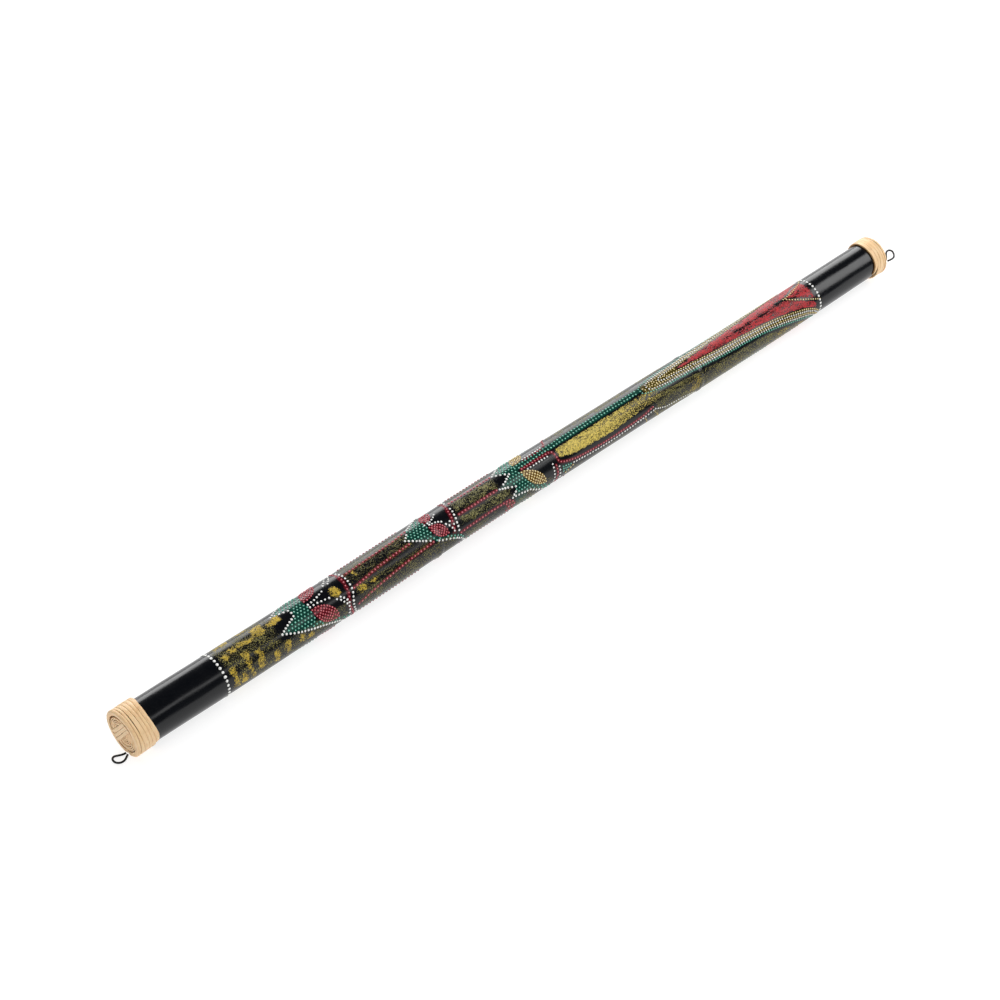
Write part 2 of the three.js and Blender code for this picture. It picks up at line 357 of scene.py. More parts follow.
def rattan_material():
    """Split rattan peel: pale varnished skin with fibres along each strip."""
    shader = Shader("rattan", Coat_Weight=0.12, Coat_Roughness=0.3, Subsurface_Weight=0.05,
                    Subsurface_Scale=0.002)
    grain = shader.attribute("grain", "Vector")
    fibres = shader.add("ShaderNodeMapping", {"Vector": grain, "Scale": (0.035, 1, 1)}).outputs[0]
    fine = shader.noise(fibres, 2600.0, 4.0, 0.6)
    broad = shader.noise(fibres, 620.0, 2.0)
    stain = shader.noise(grain, 70.0, 3.0, 0.6, 0.4)
    pale = shader.mix(shader.span(broad, 0.3, 0.7), (0.87, 0.57, 0.29, 1), (0.97, 0.71, 0.42, 1))
    streaked = shader.mix(shader.span(fine, 0.50, 0.78, 0.0, 0.75), pale, (0.64, 0.33, 0.12, 1))
    worn = shader.mix(shader.span(stain, 0.56, 0.78, 0.0, 0.55), streaked, (0.98, 0.78, 0.50, 1))
    aged = shader.mix(shader.span(stain, 0.44, 0.26, 0.0, 0.5), worn, (0.66, 0.36, 0.14, 1))
    # Darker brown where the edge mask is high: partly the peel's darker cut sides, partly painted shade
    # in the gaps between turns and at the rim's joins.
    edge = shader.attribute("edge")
    colour = shader.mix(shader.span(edge, 0.55, 1.0, 0.0, 0.8), aged, (0.42, 0.20, 0.06, 1))
    rough = shader.span(fine, 0.3, 0.7, 0.42, 0.62)
    relief = shader.bump(fine, 0.00012, 0.9)
    relief = shader.bump(broad, 0.0003, 0.8, relief)
    return shader.finish(Base_Color=colour, Roughness=rough, Normal=relief)


def cord_material():
    """Black waxed cotton cord."""
    shader = Shader("waxed_cord", Sheen_Weight=0.03, Sheen_Roughness=0.5)
    here = shader.place()
    fluff = shader.noise(here, 3800.0, 3.0, 0.7)
    wax = shader.noise(here, 450.0, 2.0)
    colour = shader.mix(fluff, (0.0012, 0.0012, 0.0015, 1), (0.009, 0.0085, 0.0085, 1))
    rough = shader.span(wax, 0.3, 0.7, 0.42, 0.68)
    return shader.finish(Base_Color=colour, Roughness=rough, Normal=shader.bump(fluff, 0.00008))


def peg_material():
    """Split bamboo pegs, with fibres across the stick."""
    shader = Shader("peg_wood", Roughness=0.7)
    here = shader.place((1, 0.3, 0.3))
    fibre = shader.noise(here, 1800.0, 4.0, 0.65)
    tone = shader.noise(here, 60.0, 2.0)
    pale = shader.mix(tone, (0.62, 0.42, 0.20, 1), (0.78, 0.60, 0.34, 1))
    colour = shader.mix(shader.span(fibre, 0.5, 0.75, 0.0, 0.7), pale, (0.40, 0.24, 0.10, 1))
    return shader.finish(Base_Color=colour, Normal=shader.bump(fibre, 0.0001))


def plug_material():
    """Softwood end plug, with growth rings seen in its faces."""
    shader = Shader("plug_wood", Roughness=0.8)
    off_axis = shader.add("ShaderNodeMapping", {
        "Vector": shader.add("ShaderNodeTexCoord").outputs["Object"],
        "Location": (0, 0.03, -0.04)}).outputs[0]
    rings = shader.add("ShaderNodeTexWave", {
        "Vector": off_axis, "Scale": 130.0, "Distortion": 2.5, "Detail": 2.0,
        "Detail Scale": 1.5}, wave_type="RINGS", rings_direction="X").outputs["Fac"]
    pores = shader.noise(off_axis, 2400.0, 3.0)
    wood = shader.mix(rings, (0.44, 0.26, 0.11, 1), (0.70, 0.49, 0.26, 1))
    colour = shader.mix(shader.span(pores, 0.55, 0.8, 0.0, 0.6), wood, (0.28, 0.15, 0.06, 1))
    return shader.finish(Base_Color=colour, Normal=shader.bump(pores, 0.0001))


def pebble_material():
    """Small river pebbles, each a different grey or brown."""
    shader = Shader("pebble", Coat_Weight=0.1)
    here = shader.place()
    tone = shader.noise(here, 75.0, 1.0)
    speck = shader.noise(here, 2200.0, 4.0, 0.7)
    stone = shader.mix(shader.span(tone, 0.35, 0.65), (0.20, 0.19, 0.18, 1), (0.50, 0.40, 0.29, 1))
    colour = shader.mix(shader.span(speck, 0.52, 0.75, 0.0, 0.7), stone, (0.72, 0.68, 0.60, 1))
    rough = shader.span(speck, 0.3, 0.7, 0.4, 0.7)
    return shader.finish(Base_Color=colour, Roughness=rough, Normal=shader.bump(speck, 0.0001))


LACQUER = lacquer_material()
BARE_BAMBOO = bare_bamboo_material()
RATTAN = rattan_material()
CORD = cord_material()
PEG_WOOD = peg_material()
PLUG_WOOD = plug_material()
PEBBLE = pebble_material()
# Each paint: its colour, its thin dark edge, and a painted highlight colour for the dot's crown.
PAINTS = {
    "white": paint_material("paint_white", (0.88, 0.88, 0.84, 1), (0.25, 0.25, 0.21, 1),
                            (0.98, 0.98, 0.96, 1)),
    "green": paint_material("paint_green", (0.03, 0.34, 0.23, 1), (0.002, 0.08, 0.05, 1),
                            (0.38, 0.74, 0.60, 1)),
    "red": paint_material("paint_red", (0.45, 0.020, 0.040, 1), (0.11, 0.003, 0.008, 1),
                          (0.76, 0.25, 0.28, 1)),
    "yellow": paint_material("paint_yellow", (0.74, 0.52, 0.14, 1), (0.13, 0.085, 0.010, 1),
                             (0.94, 0.86, 0.56, 1)),
}


# ---- cord loops
CORD_RADIUS = 1.2 * MM
# Each loop's route in millimetres, as in the CAD model: out from the end face, sideways from the
# knot, and up from where the cord lies on the surface (near) or from the knot (far).
NEAR_LOOP = [
    (0.6, 1.5, 0.8), (2.4, 1.9, 0.55), (4.4, 2.6, 0.3), (6.9, 3.8, 0.15), (9.8, 5.4, 0.1),
    (12.6, 6.5, 0.1), (15, 5.8, 0.1), (16.4, 3.5, 0.1), (16.6, 0.7, 0.1), (15.7, -2, 0.1),
    (13.7, -4.1, 0.1), (11, -5.2, 0.1), (8.2, -5.2, 0.1), (5.5, -4.3, 0.2), (3.1, -2.8, 0.4),
    (1.5, -1.9, 0.65), (0.6, -1.5, 0.8),
]
FAR_LOOP = [
    (0.6, 1.5, 0), (2.6, 2.8, 0.1), (5.2, 4.9, 0.5), (8, 7.6, 1), (11.2, 10.1, 1.4),
    (14.5, 11.4, 1.5), (17.6, 11.2, 1.2), (19.8, 9.5, 0.6), (20.2, 6.8, -0.1),
    (18.7, 3.8, -0.6), (16.1, 1, -0.8), (13, -1.1, -0.7), (9.6, -2.1, -0.4), (6.4, -2.2, -0.2),
    (3.6, -1.9, -0.1), (1.8, -1.7, 0), (0.6, -1.5, 0),
]
PLIES = 3
PLY_RELIEF = 0.075  # depth of the grooves between the cord's plies, in cord radii
PLY_LAY = 6.5 * MM  # length of one full twist


def cord_tube(name, path):
    """A laid cord along a path, with its plies as relief."""
    sides = 18
    tangent = np.gradient(path, axis=0)
    tangent /= np.linalg.norm(tangent, axis=1)[:, None]
    along = lengths_along(path)
    side = np.cross(tangent, [0.0, 0.0, 1.0])
    side /= np.linalg.norm(side, axis=1)[:, None]
    up = np.cross(side, tangent)
    turn = 2 * np.pi * np.arange(sides) / sides
    twist = 2 * np.pi * along[:, None] / PLY_LAY
    groove = 1 - np.abs(np.sin(PLIES / 2 * (turn[None] - twist)))
    reach = CORD_RADIUS * (1 - PLY_RELIEF * groove)
    points = (path[:, None] + side[:, None] * (reach * np.cos(turn))[..., None]
              + up[:, None] * (reach * np.sin(turn))[..., None])
    return facing_out(link(name, points.reshape(-1, 3), loft_faces(len(path), sides), CORD))


def make_loop(end, route, body, lies):
    """A cord loop on its own hinge; the near one lies on the surface."""
    knot_low, knot_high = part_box(end + "_cord_knot")
    face = X_NEAR if end == "near" else X_FAR
    level = CORD_RADIUS if lies else (knot_low.z + knot_high.z) / 2
    middle = (knot_low.y + knot_high.y) / 2
    points = [(face + OUTWARD[end] * out * MM, middle + across * MM, level + up * MM)
              for out, across, up in route]
    path = smooth_through(points, 150)
    loop = cord_tube(end + "_cord_loop_laid", path)
    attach(loop, body)
    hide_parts(end + "_cord_loop")


make_loop("near", NEAR_LOOP, "near_loop", True)
make_loop("far", FAR_LOOP, "far_loop", False)


# ---- painted dots
DOT_SIDES = 10
DOT_RINGS = ((1.0, -0.25), (0.93, 0.35), (0.62, 0.80))  # reach and height, in dot sizes
DOT_HEIGHT = 0.62  # in dot radii
DOT_CELL = 4  # mm, more than the distance at which any two dots touch
LEAF_BULGE = 0.75  # lower is blunter
SECTOR_START = -56.0  # the pattern fills half a turn from here, and the other half repeats it
HALF_TURN = 180.0
rng = random.Random(11)


def settle(s, a, way=1):
    """Moves a place read off a straight stick to where it lies on the bowed one."""
    turn = 2.0 * bow_at(s) / np.clip(np.cos(np.radians(a - 37.5)), 0.4, 1.0)
    slip = 2.0 * np.maximum(0.0, (s - 650) / 420)
    return s + way * slip, a + way * turn


def arc_mm(s):
    """Millimetres round the skin for one degree."""
    return tube_radius(s) / MM * math.pi / 180


class Dots:
    """All dots placed so far. A dot that would touch an earlier one is left out."""

    def __init__(self):
        self.placed = {colour: [] for colour in PAINTS}
        self.cells = {}

    def cell(self, s, arc):
        return int(s // DOT_CELL), int(arc // DOT_CELL)

    def free(self, s, arc, radius):
        column, line = self.cell(s, arc)
        for i in (-1, 0, 1):
            for j in (-1, 0, 1):
                for other_s, other_arc, other in self.cells.get((column + i, line + j), ()):
                    if math.hypot(s - other_s, arc - other_arc) < 0.98 * (radius + other):
                        return False
        return True

    def put(self, colour, s, a, radius):
        """A dot at (s, a) of the front half turn and its copy on the back."""
        s, a = (float(value) for value in settle(s, a))
        if not SECTOR_START + 1.5 <= a <= SECTOR_START + HALF_TURN - 1.5:
            return
        arc = a * arc_mm(s)
        if not self.free(s, arc, radius):
            return
        self.cells.setdefault(self.cell(s, arc), []).append((s, arc, radius))
        for turn in (0.0, HALF_TURN):
            self.one(colour, s, a + turn, radius)

    def one(self, colour, s, a, radius, height=DOT_HEIGHT):
        size = radius * rng.uniform(0.92, 1.08)
        stretch = rng.uniform(0.94, 1.08)
        at = (s + rng.uniform(-0.2, 0.2), a + rng.uniform(-0.35, 0.35))
        self.placed[colour].append((*at, size * stretch, size / stretch, height * radius))


dots = Dots()
strokes = []  # curves of the red rows, in millimetres, for the ground behind them
leaves = []  # (colour, start, tip, width) of each leaf, for the ground behind it


def in_mm(points):
    return [(s, a * arc_mm(s)) for s, a in points]


def row(colour, points, pitch=4.6, radius=1.45):
    """Dots along a smooth curve through (s, a) points."""
    curve = smooth_through(in_mm(points), 600)
    if colour == "red":
        strokes.append(curve[::6])
    length = np.linalg.norm(np.diff(curve, axis=0), axis=1).sum()
    count = max(2, int(round(length / pitch)) + 1)
    for s, arc in smooth_through(in_mm(points), count):
        dots.put(colour, s, arc / arc_mm(s), radius)


def inside(polygon, x, y):
    """1 where a point lies inside a polygon and 0 elsewhere."""
    crossings = np.zeros(np.shape(x), int)
    for (x0, y0), (x1, y1) in zip(polygon, polygon[1:] + polygon[:1]):
        if y0 != y1:
            crossings = crossings + (((y0 > y) != (y1 > y))
                                     & (x < x0 + (y - y0) * (x1 - x0) / (y1 - y0)))
    return (crossings % 2).astype(float)


def fill(colour, outline, pitch=4.5, radius=1.15, aspect=0.80):
    """A staggered field of dots inside a polygon of (s, a) points."""
    stations = [s for s, _ in outline]
    angles = [a for _, a in outline]
    middle = (min(stations) + max(stations)) / 2
    step = pitch * aspect / arc_mm(middle)
    index = 0
    a = min(angles)
    while a <= max(angles):
        s = min(stations) + (pitch / 2 if index % 2 else 0)
        while s <= max(stations):
            if inside(outline, s, a):
                dots.put(colour, s, a, radius)
            s += pitch
        a += step
        index += 1


def leaf(colour, start, tip, width, rows=5, pitch=3.5, radius=1.2):
    """Nested rows of dots that bulge between two points; width is in millimetres."""
    (s0, b0), (s1, b1) = in_mm([start, tip])
    length = math.hypot(s1 - s0, b1 - b0)
    across = (-(b1 - b0) / length, (s1 - s0) / length)
    count = int(length / pitch) + 1
    shares = sorted((k / (rows - 1) - 0.5 for k in range(rows)), key=abs, reverse=True)
    for share in shares:
        for i in range(count + 1):
            t = i / count
            out = width * share * math.sin(math.pi * t) ** LEAF_BULGE
            s = s0 + (s1 - s0) * t + across[0] * out
            arc = b0 + (b1 - b0) * t + across[1] * out
            dots.put(colour, s, arc / arc_mm(s), radius)
    leaves.append((colour, (s0, b0), (s1, b1), width))


def full_ring(station, pitch_degrees, radius):
    count = round(360 / pitch_degrees)
    for i in range(count):
        dots.one("white", station, (i + 0.5) * 360 / count, radius, 0.5)


# ---- the pattern, end to end
# Outlines start at the bottom edge, run round the arrowheads' tips and end at the back.
ARROW_1 = [(285, 122), (275, 106), (260, 90), (240, 76), (220, 61), (202, 43), (213, 31),
           (225, 20), (226, 9), (225, -2), (215, -9), (205, -15), (213, -26), (224, -40),
           (240, -56)]
ARROW_1_BACK = [(246, -56), (246, -40), (245, 60), (262, 76), (276, 90), (286, 104), (294, 122)]
ARROW_2 = [(467, 120), (462, 103), (456, 90), (450, 81), (440, 71), (430, 62), (420, 52),
           (410, 40), (400, 27), (389, 10), (396, -4), (402, -20), (412, -35), (426, -52),
           (430, -56)]
ARROW_2_BACK = [(440, -52), (432, -42), (425, -32), (421, -15), (421, 40), (434, 55), (448, 72),
                (458, 82), (464, 96), (469, 108), (474, 120)]
ARROW_3 = [(590, 122), (584, 103), (574, 91), (565, 79), (552, 73), (538, 70), (544, 59),
           (547, 47), (537, 38), (526, 31), (538, 21), (549, 8), (540, -5), (531, -17),
           (538, -30), (548, -45), (558, -56)]
ARROW_3_BACK = [(572, -56), (568, -50), (562, -28), (561, 14), (564, 36), (572, 54),
                (580, 70), (588, 86), (596, 102), (602, 122)]


def arrowhead(outline, back):
    """Draws an arrowhead's front edge and returns its whole outline."""
    for first in range(len(outline) - 1):
        row("white", outline[first:first + 2], 4.5)
    return outline + back


def rows(colour, paths, pitch=4.6, radius=1.35):
    for path in paths:
        row(colour, path, pitch, radius)


RED_BAND_1 = [(297, -54), (297, -20), (298, 0), (297, 20), (295, 45), (292, 60), (291, 78),
              (293, 95), (296, 120)]
RED_BAND_2 = [(459, -54), (458, -15), (456, 0), (454, 20), (451, 40), (449, 62)]


def first_motif():
    body = arrowhead(ARROW_1, ARROW_1_BACK)
    rows("white", [[(247, 14), (258, 12), (270, 3)], [(247, 23), (258, 24), (272, 29)]])
    leaf("red", (247, 32), (274, 86), 17, 6)
    leaf("red", (246, 1), (270, -50), 16, 6)
    fill("green", body)
    rows("white", [
        [(279, 42), (283, 50), (286, 59), (289, 70), (290, 83), (289, 98)],
        [(284, 42), (289, 53), (291, 67)],
        [(277, -10), (283, -24), (287, -40), (289, -54)], [(283, -8), (289, -22), (292, -40)],
    ], 4.4)
    row("red", RED_BAND_1, 4.3, 1.2)
    row("white", [(297, -54), (300, -18), (302, 0), (302, 22), (301, 42), (298, 60), (296, 78),
                  (297, 95), (300, 120)], 4.6)
    rows("red", [
        [(309, -46), (345, -50), (395, -54)],
        [(303, -3), (330, -6), (360, -9), (380, -12), (398, -18)],
        [(304, 41), (320, 36), (340, 30), (365, 26), (390, 23)],
        [(303, 88), (322, 77), (352, 66), (385, 58), (418, 53)],
    ], 4.9, 1.3)


def second_motif():
    body = arrowhead(ARROW_2, ARROW_2_BACK)
    rows("white", [[(421, 2), (430, 0), (436, -6), (440, -13)], [(426, 8), (434, 11), (440, 19)]], 4.2)
    leaf("red", (423, 15), (441, 54), 13, 5)
    leaf("red", (422, -2), (436, -44), 12, 5)
    rows("green", [[(430, 50), (438, 60), (447, 70), (456, 79)]], 4.5, 1.15)
    fill("green", body)
    rows("white", [[(443, 31), (447, 42), (449, 58)], [(449, 30), (452, 42)]], 4.1)
    row("red", RED_BAND_2, 4.3, 1.2)
    row("white", [(463, -54), (460, -10), (460, 8), (458, 28), (456, 48), (455, 64)], 4.5)
    rows("red", [
        [(470, -54), (535, -54)], [(465, -20), (528, -20)], [(464, 28), (522, 28)],
        [(457, 73), (470, 71), (505, 69), (533, 71)],
        [(527, 76), (530, 88), (527, 99)], [(532, 78), (535, 89), (532, 100)],
        [(537, 79), (539, 90), (537, 100)],
    ], 4.8, 1.3)


def third_motif():
    body = arrowhead(ARROW_3, ARROW_3_BACK)
    row("red", [(566, 15), (600, 16), (612, 20), (614, 38), (616, 55), (630, 67), (650, 75),
                (690, 80), (745, 77), (768, 68)], 4.2, 1.2)
    leaf("yellow", (563, 23), (590, 85), 13, 5)
    leaf("yellow", (562, -12), (582, -50), 13, 5)
    fill("green", body)
    rows("green", [[(560, -3), (600, -3), (640, -4), (700, -4), (758, -2)],
                   [(560, 8), (600, 8), (640, 7), (700, 6), (756, 9)]], 4.7, 1.25)
    rows("white", [
        [(577, -11), (606, -12)], [(573, 24), (604, 24)], [(605, 50), (604, 75), (603, 100), (602, 120)],
        [(613, 66), (613, 84), (612, 102), (611, 120)],
    ], 4.4, 1.25)
    rows("red", [
        [(578, -7), (604, -8)], [(611, -13), (615, -24), (618, -42), (624, -54)],
        [(609, 58), (609, 84), (607, 102), (606, 120)],
    ], 4.3, 1.15)
    row("white", [(635, 80), (660, 86), (700, 90), (740, 86), (768, 80)], 4.5, 1.3)
    rows("green", [[(618, 73), (630, 79)], [(618, 80), (628, 85)], [(618, 87), (623, 90)]], 4.0, 1.2)
    row("yellow", [(637, 83), (630, 91), (622, 98)], 4.2, 1.2)


FEATHER_MIDDLE = 8.0
# Half width of the feather's plain middle, in degrees, along the stick.
FEATHER = [(768, 0), (800, 2), (820, 4), (850, 9), (880, 15), (900, 19), (930, 22), (960, 27),
           (980, 31), (1000, 37), (1020, 46), (1040, 57), (1050, 66), (1060, 80), (1066, 94)]
FEATHER_ROWS = ("yellow", "white", "yellow", "white", "green")
FEATHER_V = ([(1021, 5), (1030, 20), (1040, 33), (1055, 50), (1070, 66)],
             [(1021, 5), (1036, 0), (1048, -7), (1060, -18), (1066, -28)])


FEATHER_TIP = [(765, 8), (772, 0), (790, -8), (812, -6), (826, 6), (826, 10), (812, 22),
               (790, 24), (772, 16)]


def feather_gap(s):
    """Degrees between the feather's rows, which fan out towards the thin end."""
    return 5.5 + 0.03 * np.maximum(0.0, s - 960)


def feather():
    """Nested rows that close round the feather's tip, outermost first."""
    for k in reversed(range(len(FEATHER_ROWS))):
        nose = 806 - 10.5 * k
        for side in (1, -1):
            path = [(nose, FEATHER_MIDDLE), (nose + 4, FEATHER_MIDDLE + side * (5 + 2.4 * k))]
            path += [(s, FEATHER_MIDDLE + side * (half + (k + 0.5) * feather_gap(s)))
                     for s, half in FEATHER if s > nose + 16]
            row(FEATHER_ROWS[k], path, 3.9, 1.08)
    fill("yellow", FEATHER_TIP, 3.9, 1.1, 0.75)
    rows("yellow", FEATHER_V, 4.0, 1.15)
    row("white", [(768, 75), (785, 91), (797, 97), (815, 101), (835, 112), (843, 120)], 4.0, 1.15)
    rows("yellow", [[(752, 82), (757, 102), (760, 122)], [(768, 80), (775, 101), (780, 122)]], 3.2, 0.85)


full_ring(RING_STATIONS[0], 12.0, 1.85)
full_ring(RING_STATIONS[1], 12.0, 1.7)
first_motif()
second_motif()
third_motif()
feather()


def dot_mesh(colour):
    """All dots of one colour, each a low dome that follows the skin."""
    placed = np.array(dots.placed[colour])
    turn = 2 * np.pi * np.arange(DOT_SIDES) / DOT_SIDES
    shape = [(reach * math.cos(t), reach * math.sin(t), height)
             for reach, height in DOT_RINGS for t in turn] + [(0.0, 0.0, 1.0)]
    shape = np.array(shape)
    s, a, half_s, half_a, height = (placed[:, k:k + 1] for k in range(5))
    at_s = s + half_s * shape[:, 0]
    at_a = a + half_a * shape[:, 1] * MM / tube_radius(s) * 180 / np.pi
    points = on_skin(at_s, at_a, height * shape[:, 2] * MM)
    faces = []
    count = len(shape)
    rings = len(DOT_RINGS)
    for i in range(len(placed)):
        first = i * count
        faces.append(tuple(first + j for j in range(DOT_SIDES)))
        for r in range(rings - 1):
            low = first + r * DOT_SIDES
            for j in range(DOT_SIDES):
                k = (j + 1) % DOT_SIDES
                faces.append((low + j, low + DOT_SIDES + j, low + DOT_SIDES + k, low + k))
        low = first + (rings - 1) * DOT_SIDES
        for j in range(DOT_SIDES):
            faces.append((low + j, first + count - 1, low + (j + 1) % DOT_SIDES))
    piece = link("painted_dots_" + colour, points.reshape(-1, 3), faces, PAINTS[colour])
    give(piece, "thickness", np.tile(np.clip(shape[:, 2], 0, 1), len(placed)))
    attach(piece, "stick")


for colour in PAINTS:
    dot_mesh(colour)


# ---- sponged paint on the skin
GOLD = (0.66, 0.45, 0.035)
PALE_GOLD = (0.74, 0.57, 0.11)
SAGE = (0.42, 0.40, 0.17)
OLIVE = (0.27, 0.235, 0.055)
CRIMSON = (0.50, 0.018, 0.026)
DARK_GREEN = (0.003, 0.050, 0.035)
DARK_RED = (0.12, 0.004, 0.010)
BROWN = (0.14, 0.065, 0.004)
OCHRE = (0.075, 0.055, 0.006)
CLOUD_SIZE = (160, 64)
CLOUDS = np.random.default_rng(5).random(CLOUD_SIZE)


def cloud(s, a, size_s=9.0, size_a=9.0):
    """Soft seeded mottling, from 0 to 1."""
    x = s / size_s
    y = (a - SECTOR_START) / size_a
    column, line = np.floor(x).astype(int), np.floor(y).astype(int)
    u, v = step(x - column, 0, 1), step(y - line, 0, 1)

    def at(i, j):
        return CLOUDS[(column + i) % CLOUD_SIZE[0], (line + j) % CLOUD_SIZE[1]]

    low = at(0, 0) * (1 - u) + at(1, 0) * u
    high = at(0, 1) * (1 - u) + at(1, 1) * u
    return low * (1 - v) + high * v


def step(value, low, high):
    """A soft step from 0 at low to 1 at high."""
    t = np.clip((value - low) / (high - low), 0, 1)
    return t * t * (3 - 2 * t)


def band(s, a, s0, s1, a0, a1, soft_s=5.0, soft_a=6.0):
    """1 inside a patch and 0 outside, with soft edges."""
    along = step(s, s0 - soft_s, s0 + soft_s) * (1 - step(s, s1 - soft_s, s1 + soft_s))
    return along * step(a, a0 - soft_a, a0 + soft_a) * (1 - step(a, a1 - soft_a, a1 + soft_a))


def feather_edge(s):
    """Half width of the feather's plain middle."""
    places = np.array(FEATHER, float)
    return np.interp(s, places[:, 0], places[:, 1])


def feather_outside(s):
    """Half width of the feather over all its rows."""
    return feather_edge(s) + len(FEATHER_ROWS) * feather_gap(s)


# Gold lobes: (s from, s to, a from, a to).
GOLD_LOBES = (
    (128, 137, 45, 105), (139, 146, 75, 105), (150, 158, 30, 105), (164, 173, 38, 95),
    (183, 192, 65, 105), (200, 207, 65, 100), (218, 226, 70, 98), (230, 238, 80, 100),
    (130, 137, 8, 28), (140, 150, 3, 20), (150, 185, 0, 15), (175, 192, -20, 10),
    (195, 215, -12, 8), (277, 287, 8, 35), (308, 318, 45, 62), (313, 318, 2, 18),
    (326, 335, 45, 60), (130, 150, -40, -20), (160, 175, -45, -25),
)
# Fainter speckled fields: (share, s from, s to, a from, a to).
HAZES = (
    (0.66, 125, 200, -54, 60), (0.62, 130, 290, 60, 122), (0.58, 303, 395, -42, 36),
    (0.60, 303, 420, 40, 60), (0.62, 303, 452, 60, 122), (0.66, 463, 530, -50, -22),
    (0.74, 463, 530, -15, 22), (0.72, 460, 540, 34, 62), (0.60, 462, 600, 78, 122),
    (0.72, 622, 758, -54, -14), (0.50, 618, 745, 92, 122),
)
BRIGHT_FIELDS = ((0.72, 463, 530, -10, 15), (0.70, 460, 540, 34, 55))


def big_patch(s, a):
    """The gold field with a scalloped lower edge, above the red curve."""
    lower = np.interp(s, [616, 622, 640, 670, 700, 740, 800], [46, 48, 58, 62, 66, 60, 54])
    lower = lower + 3.5 * np.abs(np.sin(math.pi * s / 11.0)) - 3
    inner = step(s, 616, 620) * step(a, 15, 20) * (1 - step(a, lower - 3, lower + 3))
    return inner * (1 - step(s, 770, 808)) * (1.3 - 0.5 * step(s, 650, 770))


def round_feather(s, a):
    """The haze outside the feather's rows."""
    out = np.abs(a - FEATHER_MIDDLE) - feather_outside(s)
    haze = step(out, 4, 10) * step(s, 758, 775) * (1 - step(s, 1050, 1066))
    bright = band(s, a, 830, 850, 60, 110) + band(s, a, 985, 1010, 85, 110)
    bright += band(s, a, 1025, 1045, 90, 122) + 0.6 * band(s, a, 900, 925, 80, 110)
    return haze, bright


def feather_red(s, a):
    """The mottled red middle of the feather and the patch inside its V."""
    off = np.abs(a - FEATHER_MIDDLE)
    centre = 1 - step(off - feather_edge(s), -4, 0)
    streak = 1 - 0.6 * np.exp(-((a - 10) / 4) ** 2) * step(s, 915, 935) * (1 - step(s, 995, 1010))
    arm = np.where(a > 5, 1021 + (a - 5) * 0.75, 1021 + (5 - a) * 1.25)
    cut = 1 - 0.9 * np.exp(-((s - arm) / 4.5) ** 2) * step(s, 1012, 1020)
    dark = 1 - 0.9 * band(s, a, 1005, 1022, -2, 10, 3, 3)
    return centre * streak * cut * dark * step(s, 818, 836) * (1 - step(s, 1058, 1066))


def patches(s, a):
    """(colour, share of the skin covered) for each sponged patch."""
    uneven = 0.62 + 0.55 * cloud(s, a)
    real_s, real_a = s, a
    s = s + 5 * (cloud(s, a, 6, 14) - 0.5) + 2.0 * (cloud(s + 400, a, 2.5, 6) - 0.5)
    a = a + 9 * (cloud(s + 900, a, 7, 11) - 0.5) + 7 * (cloud(s + 200, a, 3, 5) - 0.5)
    found = [(OLIVE, share * uneven * band(s, a, *field, 5, 6)) for share, *field in HAZES]
    found += [(SAGE, share * uneven * band(s, a, *field, 5, 5)) for share, *field in BRIGHT_FIELDS]
    for lobe in GOLD_LOBES:
        found.append((GOLD, (0.78 + 0.45 * cloud(s, a, 5, 7)) * band(s, a, *lobe, 2.5, 5)))
    s, a = real_s, real_a + 2 * (cloud(s, a, 3, 5) - 0.5)
    found.append((PALE_GOLD, big_patch(s, a) * (0.66 + 0.42 * cloud(s, a, 4, 6))))
    haze, bright = round_feather(s, a)
    found.append((OLIVE, 0.72 * haze * uneven))
    found.append((GOLD, 0.80 * haze * bright * uneven))
    mottle = 0.62 + 0.85 * cloud(s, a, 6, 5)
    found.append((CRIMSON, mottle * feather_red(s, a)))
    return found


def leaf_ground(s, a, leaf_shape):
    """1 on the skin under a leaf of dots."""
    _, (s0, b0), (s1, b1), width = leaf_shape
    arc = a * arc_mm((s0 + s1) / 2)
    length = math.hypot(s1 - s0, b1 - b0)
    along = ((s - s0) * (s1 - s0) + (arc - b0) * (b1 - b0)) / length ** 2
    off = ((arc - b0) * (s1 - s0) - (s - s0) * (b1 - b0)) / length
    bulge = np.sin(np.pi * np.clip(along, 0, 1)) ** LEAF_BULGE * width / 2 + 1.2
    return ((along > 0) & (along < 1) & (np.abs(off) < bulge)).astype(float)


def near_curve(s, a, curve, reach):
    """1 within reach (mm) of a cross band given as s against a."""
    stations, angles = np.array(curve, float).T
    return (np.abs(s - np.interp(a, angles, stations)) < reach).astype(float)


def near_stroke(s, a, curve, reach):
    """1 within reach (mm) of a row's curve."""
    found = np.zeros(s.shape)
    at = np.flatnonzero((s > curve[:, 0].min() - reach) & (s < curve[:, 0].max() + reach))
    arc = a[at] * arc_mm(s[at])
    away = np.hypot(s[at, None] - curve[None, :, 0], arc[:, None] - curve[None, :, 1]).min(axis=1)
    found[at] = 1 - step(away, reach - 0.5, reach + 0.5)
    return found


